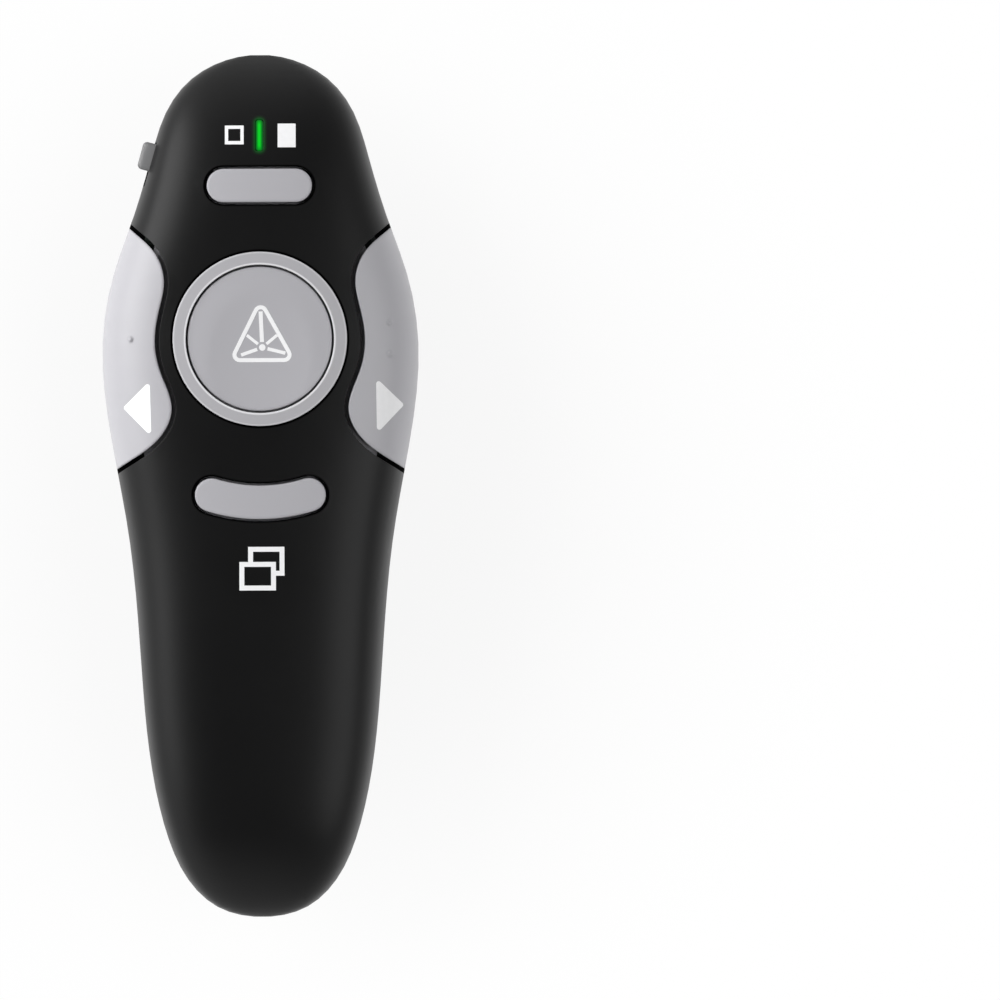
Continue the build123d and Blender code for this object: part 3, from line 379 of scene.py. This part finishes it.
FINISHES = {
    "top_housing": BLACK, "lower_housing": BLACK, "battery_cover": BLACK, "housing_screw": DARK_STEEL,
    "laser_button": SILVER, "button_ring": RING, "top_key": SILVER, "lower_key": SILVER,
    "left_key": SILVER, "right_key": SILVER, "switch_knob": KNOB, "switch_slider": GLOSS,
    "slide_switch_body": STEEL, "led_lens": LAMP, "led_chip": WHITE_CHIP, "main_board": BOARD,
    "tact_switches": STEEL, "laser_plunger": GLOSS, "top_plunger": GLOSS, "lower_plunger": GLOSS,
    "left_plunger": GLOSS, "right_plunger": GLOSS, "radio_chip": GLOSS, "crystal": STEEL,
    "inductor": COPPER, "board_screws": STEEL, "laser_barrel": BRASS, "laser_lens": GLASS,
    "laser_window": WINDOW, "laser_board": BOARD, "minus_contact": STEEL, "plus_contact": STEEL,
    "battery_spring": STEEL, "receiver_cap": GLOSS, "receiver_shell": PLUG_STEEL,
    "receiver_insulator": INSULATOR, "receiver_contacts": GOLD,
}
for name, material in FINISHES.items():
    for slot in NODES[name].material_slots:
        slot.material = material


# ---------------------------------------------------------------- making pieces
def add_piece(name, mesh, body):
    """An object with the mesh, riding on a body."""
    piece = bpy.data.objects.new(name, mesh)
    bpy.context.collection.objects.link(piece)
    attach(piece, body)
    return piece


def smoothed(node, body, finishes, choose=None):
    """A merged copy of a solid, shaded smooth over its gentle creases, that stands for the solid."""
    weld, sliver, crease = 2e-6, 1e-7, math.radians(38)     # two distances in metres, and an angle
    copy = bmesh.new()
    copy.from_mesh(NODES[node].data)
    bmesh.ops.remove_doubles(copy, verts=copy.verts, dist=weld)
    bmesh.ops.dissolve_degenerate(copy, edges=copy.edges, dist=sliver)
    if choose:
        for face in copy.faces:
            face.material_index = choose(face.calc_center_median() / MM, face.normal)
    mesh = bpy.data.meshes.new(node + "_skin")
    copy.to_mesh(mesh)
    copy.free()
    if "custom_normal" in mesh.attributes:
        mesh.attributes.remove(mesh.attributes["custom_normal"])
    mesh.materials.clear()
    for material in finishes:
        mesh.materials.append(material)
    mesh.shade_smooth()
    mesh.set_sharp_from_angle(angle=crease)
    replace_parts(add_piece(node + "_skin", mesh, body), node)


def inside_of_nose(centre, normal):
    """0 for the painted skin of the nose, 1 for the glossy moulding inside and behind it."""
    x, y, z = centre
    behind = ((max(y, COVER_EDGE_Y) - COVER_EDGE_Y) / COVER_EDGE_REACH) ** 2 + (z / SEAM_Z) ** 2 < 0.999
    outward = normal.x * x + normal.z * (z - SEAM_Z) > 0.0 or normal.y > 0.3
    pit = abs(x) < PIT_HALF and y < PIT_FRONT_Y and z > PIT_FLOOR_Z
    return 0 if outward and not behind and not pit else 1


smoothed("top_housing", "housing", [BLACK])
smoothed("lower_housing", "housing", [BLACK, GLOSS], inside_of_nose)
smoothed("battery_cover", "battery_cover", [BLACK])
smoothed("button_ring", "housing", [RING])
for key in ("laser_button", "top_key", "lower_key", "left_key", "right_key"):
    smoothed(key, key, [SILVER])


# ---------------------------------------------------------------- printed legends
def rounded(corners, radius, steps=5):
    """Closed outline with its corners rounded. The corners run anticlockwise, and so do its points."""
    points = []
    for number, corner in enumerate(corners):
        corner = Vector(corner)
        before = (Vector(corners[number - 1]) - corner).normalized()
        after = (Vector(corners[(number + 1) % len(corners)]) - corner).normalized()
        half = before.angle(after) / 2
        centre = corner + (before + after).normalized() * radius / math.sin(half)
        first = corner + before * radius / math.tan(half) - centre
        last = corner + after * radius / math.tan(half) - centre
        turn = first.angle_signed(last)
        for step in range(steps + 1):
            angle = math.atan2(first.y, first.x) - turn * step / steps
            points.append(centre + Vector((math.cos(angle), math.sin(angle))) * radius)
    return points


def stroke(points, width, closed=True):
    """Four-cornered pieces of a line of even width that follows the points."""
    count = len(points)
    pairs = []
    for number, point in enumerate(points):
        point = Vector(point)
        before = point - Vector(points[number - 1]) if closed or number else None
        after = Vector(points[(number + 1) % count]) - point if closed or number < count - 1 else None
        sides = [Vector((-way.y, way.x)).normalized() for way in (before, after) if way]
        mitre = sum(sides[1:], sides[0])
        offset = mitre * (width / 2 / (1 + sides[0].dot(sides[-1])) if len(sides) == 2 else width / 2)
        pairs.append((point + offset, point - offset))
    last = count if closed else count - 1
    return [[pairs[n][1], pairs[(n + 1) % count][1], pairs[(n + 1) % count][0], pairs[n][0]]
            for n in range(last)]


def bar(low, high):
    """Upright rectangle between two opposite corners."""
    return [Vector(low), Vector((high[0], low[1])), Vector(high), Vector((low[0], high[1]))]


def disc(centre, radius, steps=20):
    """Circle as points, anticlockwise."""
    return [Vector(centre) + Vector((math.cos(a), math.sin(a))) * radius
            for a in (2 * math.pi * n / steps for n in range(steps))]


def box_line(left, low, right, high, width):
    """Middle line of a rectangular frame of even width, from its outer edges: four corners."""
    inset = width / 2
    return [(left + inset, low + inset), (right - inset, low + inset), (right - inset, high - inset),
            (left + inset, high - inset)]


def finer(points, pitch):
    """The same closed outline with points no further apart than the pitch."""
    made = []
    for number, point in enumerate(points):
        after = points[(number + 1) % len(points)]
        count = max(1, math.ceil((after - point).length / pitch))
        made += [point.lerp(after, step / count) for step in range(count)]
    return made


def lay_ink(name, node, body, shapes, material=WHITE_INK, start_z=60.0, way=-1, thick=INK):
    """Flat shapes laid on a solid's surface, cut fine enough to follow it.

    Each point goes straight down from the start height, or up where the way is 1.
    """
    pitch, crease = 0.5, math.radians(50)
    sunk = 1.5      # the ink's depth, of which 1 stands proud
    solid = NODES[node].data
    surface = BVHTree.FromPolygons([v.co.copy() for v in solid.vertices],
                                   [tuple(p.vertices) for p in solid.polygons])
    points, faces = [], []
    for shape in shapes:
        shape = finer(shape, pitch)
        faces.append(list(range(len(points), len(points) + len(shape))))
        points += shape
    low = [min(p[k] for p in points) for k in (0, 1)]
    high = [max(p[k] for p in points) for k in (0, 1)]
    steps = [int((high[k] - low[k]) / pitch) + 2 for k in (0, 1)]
    points += [Vector((low[0] + i * pitch, low[1] + (j + i % 2 / 2) * pitch))
               for i in range(steps[0]) for j in range(steps[1])]
    flat, _, triangles, _, _, origins = delaunay_2d_cdt(points, [], faces, 1, 1e-5)
    triangles = [triangle for triangle, origin in zip(triangles, origins) if origin]
    ink = bmesh.new()
    corners = {}
    for triangle in triangles:
        for corner in triangle:
            if corner not in corners:
                start = Vector((flat[corner].x * MM, flat[corner].y * MM, start_z * MM))
                spot, normal, _, _ = surface.ray_cast(start, Vector((0, 0, way)))
                corners[corner] = ink.verts.new(spot + normal * thick * MM)
        face = [corners[corner] for corner in triangle]
        ink.faces.new(face if way < 0 else face[::-1])
    ink.normal_update()
    bmesh.ops.solidify(ink, geom=list(ink.faces), thickness=thick * sunk * MM)
    bmesh.ops.recalc_face_normals(ink, faces=ink.faces)
    mesh = bpy.data.meshes.new(name)
    ink.to_mesh(mesh)
    ink.free()
    mesh.materials.append(material)
    mesh.shade_smooth()
    mesh.set_sharp_from_angle(angle=crease)
    add_piece(name, mesh, body)


def lamp_signs():
    """An open square on the lamp's left and a full one on its right."""
    line, side, x, y = 0.46, 2.62, -3.47, 48.74
    edges = (x - side / 2, y - side / 2, x + side / 2, y + side / 2)
    lay_ink("legend_open_square", "top_housing", "housing", stroke(box_line(*edges, line), line))
    lay_ink("legend_full_square", "top_housing", "housing", [bar((2.55, 47.0), (5.05, 50.3))])


def two_windows():
    """Two overlapping frames. The rear one stops where the front one covers it."""
    line = 0.68
    front_right, front_high = 2.12, -10.56
    front = box_line(-2.95, -14.52, front_right, front_high, line)
    rear = box_line(-1.73, -12.48, 3.31, -8.47, line)
    shown = [(front_right, rear[0][1])] + rear[1:] + [(rear[0][0], front_high)]
    lay_ink("legend_two_windows", "top_housing", "housing",
            stroke(front, line) + stroke(shown, line, closed=False))


def arrows():
    """A filled arrowhead on each flank key, pointing outwards."""
    corner = 0.35
    back = [(-19.06, 10.9), (-15.1, 6.85), (-15.3, 14.65)]
    forward = [(19.98, 11.2), (16.1, 14.96), (16.2, 7.2)]
    lay_ink("legend_back_arrow", "left_key", "left_key", [rounded(back, corner)])
    lay_ink("legend_forward_arrow", "right_key", "right_key", [rounded(forward, corner)])


def beam_sign():
    """A rounded triangle with a burst of five rays round a dot."""
    triangle = rounded([(0.1, 25.65), (-3.99, 17.44), (4.65, 17.44)], 0.75, 6)
    hub, hub_radius, ray_start = Vector((0.34, 19.2)), 0.46, 0.75
    rays = [((0.12, 24.2), 0.56), ((-1.8, 20.9), 0.42), ((2.4, 20.9), 0.42), ((-2.6, 18.15), 0.48),
            ((3.55, 18.4), 0.48)]       # the tip of each ray, and its width
    pieces = stroke(triangle, 0.56) + [disc(hub, hub_radius)]
    for tip, width in rays:
        way = (Vector(tip) - hub).normalized()
        pieces += stroke([hub + way * ray_start, Vector(tip)], width, closed=False)
    lay_ink("legend_beam", "laser_button", "laser_button", pieces)


def polarity_signs():
    """A ringed minus at the front and a ringed plus at the rear, on the roof of the battery bay."""
    radius, ring_line, arm, half_line = 1.5, 0.25, 0.8, 0.14
    x = CELL_X
    for name, y, plus in (("sign_minus", CELL_FRONT_Y - 5.0, False), ("sign_plus", CELL_BACK_Y + 4.0, True)):
        marks = stroke(disc((x, y), radius, 28), ring_line)
        marks.append(bar((x - arm, y - half_line), (x + arm, y + half_line)))
        if plus:
            marks.append(bar((x - half_line, y - arm), (x + half_line, y + arm)))
        lay_ink(name, "lower_housing", "housing", marks, GREY_INK, CELL_Z, 1, thick=SIGN_INK)


lamp_signs()
two_windows()
arrows()
beam_sign()
polarity_signs()


# ---------------------------------------------------------------- the wound spring
class Recipe:
    """A Geometry Nodes tree with named inputs, run once on an empty mesh to make one piece."""

    def __init__(self, name, inputs):
        self.tree = bpy.data.node_groups.new(name, "GeometryNodeTree")
        self.tree.interface.new_socket("Geometry", in_out="INPUT", socket_type="NodeSocketGeometry")
        self.tree.interface.new_socket("Geometry", in_out="OUTPUT", socket_type="NodeSocketGeometry")
        self.values = {}
        for label, (kind, value) in inputs.items():
            socket = self.tree.interface.new_socket(label, in_out="INPUT", socket_type="NodeSocket" + kind)
            self.values[socket.identifier] = value
        self.given = self.tree.nodes.new("NodeGroupInput")

    def node(self, kind, **inputs):
        """A new node's first output. Sockets are named with _ for each space."""
        made = self.tree.nodes.new("GeometryNode" + kind)
        for key, value in inputs.items():
            socket = made.inputs[key.replace("_", " ")]
            if isinstance(value, bpy.types.NodeSocket):
                self.tree.links.new(value, socket)
            else:
                socket.default_value = value
        return made.outputs[0]

    def value(self, label):
        """The output that carries a named input."""
        return self.given.outputs[label]

    def piece(self, name, geometry, body, slot):
        """A plain mesh of what the tree makes, as a piece that rides on a body."""
        solid = self.node("RealizeInstances", Geometry=geometry)
        painted = self.node("SetMaterial", Geometry=solid, Material=self.value("Finish"))
        out = self.tree.nodes.new("NodeGroupOutput")
        self.tree.links.new(painted, out.inputs[0])
        carrier = bpy.data.objects.new(name, bpy.data.meshes.new(name + "_start"))
        bpy.context.collection.objects.link(carrier)
        modifier = carrier.modifiers.new("recipe", "NODES")
        modifier.node_group = self.tree
        for identifier, value in self.values.items():
            modifier[identifier] = value
        seen = carrier.evaluated_get(bpy.context.evaluated_depsgraph_get())
        mesh = bpy.data.meshes.new_from_object(seen)
        bpy.data.objects.remove(carrier)
        mesh.name = name
        return add_piece(name, mesh, body)


def wound_spring():
    """Conical coil that presses on the cell's flat end, wound from round wire."""
    recipe = Recipe("wound_spring", {
        "Turns": ("Float", 4.25), "Large Radius": ("Float", 3.6 * MM), "Small Radius": ("Float", 1.8 * MM),
        "Height": ("Float", 2.2 * MM), "Wire Radius": ("Float", 0.3 * MM), "Finish": ("Material", STEEL)})
    coil = recipe.node("CurveSpiral", Resolution=40, Rotations=recipe.value("Turns"),
                       Start_Radius=recipe.value("Large Radius"), End_Radius=recipe.value("Small Radius"),
                       Height=recipe.value("Height"))
    laid = recipe.node("Transform", Geometry=coil, Rotation=(math.radians(90), 0, 0),
                       Translation=(CELL_X * MM, SPRING_Y * MM, CELL_Z * MM))
    wire = recipe.node("CurvePrimitiveCircle", Resolution=10, Radius=recipe.value("Wire Radius"))
    solid = recipe.node("CurveToMesh", Curve=laid, Profile_Curve=wire, Fill_Caps=True)
    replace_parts(recipe.piece("wound_spring", solid, "housing", "steel"), "battery_spring")


wound_spring()


# ---------------------------------------------------------------- floor, lamps and camera
def white_where_seen(finish, shader, share):
    """The shader, with a share of plain white laid over it where the eye, gloss or glass sees it."""
    camera, gloss, glass = (finish.node("ShaderNodeLightPath", output=f"Is {ray} Ray")
                            for ray in ("Camera", "Glossy", "Transmission"))
    white = finish.node("ShaderNodeEmission", inputs={"Color": (1, 1, 1), "Strength": 1.0})
    return finish.node("ShaderNodeMixShader",
                       inputs={0: camera.most(gloss).most(glass) * share, 1: shader, 2: white})


def make_floor():
    """A pale floor, a hair below the part. It is almost plain white to the eye near the part, and all
    white further out."""
    reach, drop = 6.0, 0.0001       # in metres
    shadow_share, shadow_from, shadow_to = 0.12, 25.0, 95.0     # how much of the shadow shows, and where
    mesh = bpy.data.meshes.new("studio_floor")
    mesh.from_pydata([(-reach, -reach, -drop), (reach, -reach, -drop), (reach, reach, -drop),
                      (-reach, reach, -drop)], [], [(0, 1, 2, 3)])
    floor = bpy.data.objects.new("studio_floor", mesh)
    bpy.context.collection.objects.link(floor)
    finish = Finish("floor_white", Roughness=0.9, Base_Color=(0.88, 0.88, 0.88), Specular_IOR_Level=0.1)
    end = next(node for node in finish.tree.nodes if node.type == "OUTPUT_MATERIAL")
    plain = Wire(finish, finish.shader.outputs[0])
    x, y, _ = finish.axes()
    share = span(x, y).ramp(shadow_from, shadow_to) * shadow_share + (1 - shadow_share)
    finish.plug(end.inputs["Surface"], white_where_seen(finish, plain, share))
    mesh.materials.append(finish.material)


def make_lamp(name, place, size, power):
    """A round soft lamp that faces the part. Its place and size are in metres, its power in watts."""
    data = bpy.data.lights.new(name, "AREA")
    data.shape, data.size, data.energy = "DISK", size, power
    lamp = bpy.data.objects.new(name, data)
    lamp.location = place
    lamp.rotation_euler = Vector(place).to_track_quat("Z", "Y").to_euler()
    bpy.context.collection.objects.link(lamp)


def make_world():
    """Bright towards the left horizon, dim to the right and dark overhead."""
    world = bpy.data.worlds.new("studio")
    bpy.context.scene.world = world
    world.use_nodes = True
    wiring = Wiring(world.node_tree)
    x, _, z = wiring.split(wiring.node("ShaderNodeTexCoord", output="Generated"))
    overhead, right, left_extra = 0.05, 0.45, 0.7
    level = z.ramp(0.9, 0.2) * (x.ramp(0.4, -0.4) * left_extra + right) + overhead
    light = wiring.node("ShaderNodeBackground", inputs={"Color": (1, 1, 1), "Strength": level})
    wiring.node("ShaderNodeOutputWorld", inputs={"Surface": light})


def make_camera():
    """A long lens straight above, with the part in the left half of its frame."""
    lens, sensor = 1000.0, 36.0
    width_seen, x, y, turn = 139.2, 33.25, -2.09, -0.21     # millimetres at the seam's height, and degrees
    data = bpy.data.cameras.new("main_camera")
    data.lens, data.sensor_width = lens, sensor
    data.clip_start, data.clip_end = 0.1, 20.0
    camera = bpy.data.objects.new("main_camera", data)
    camera.location = (x * MM, y * MM, (SEAM_Z + width_seen * lens / sensor) * MM)
    camera.rotation_euler = (0.0, 0.0, math.radians(turn))
    bpy.context.collection.objects.link(camera)
    bpy.context.scene.camera = camera


make_floor()
make_world()
make_camera()
make_lamp("key_lamp", (-1.00, 0.42, 0.54), 1.15, 15.5)
make_lamp("fill_lamp", (0.70, -0.10, 0.76), 0.9, 4.5)
bpy.context.scene.view_settings.view_transform = "Standard"
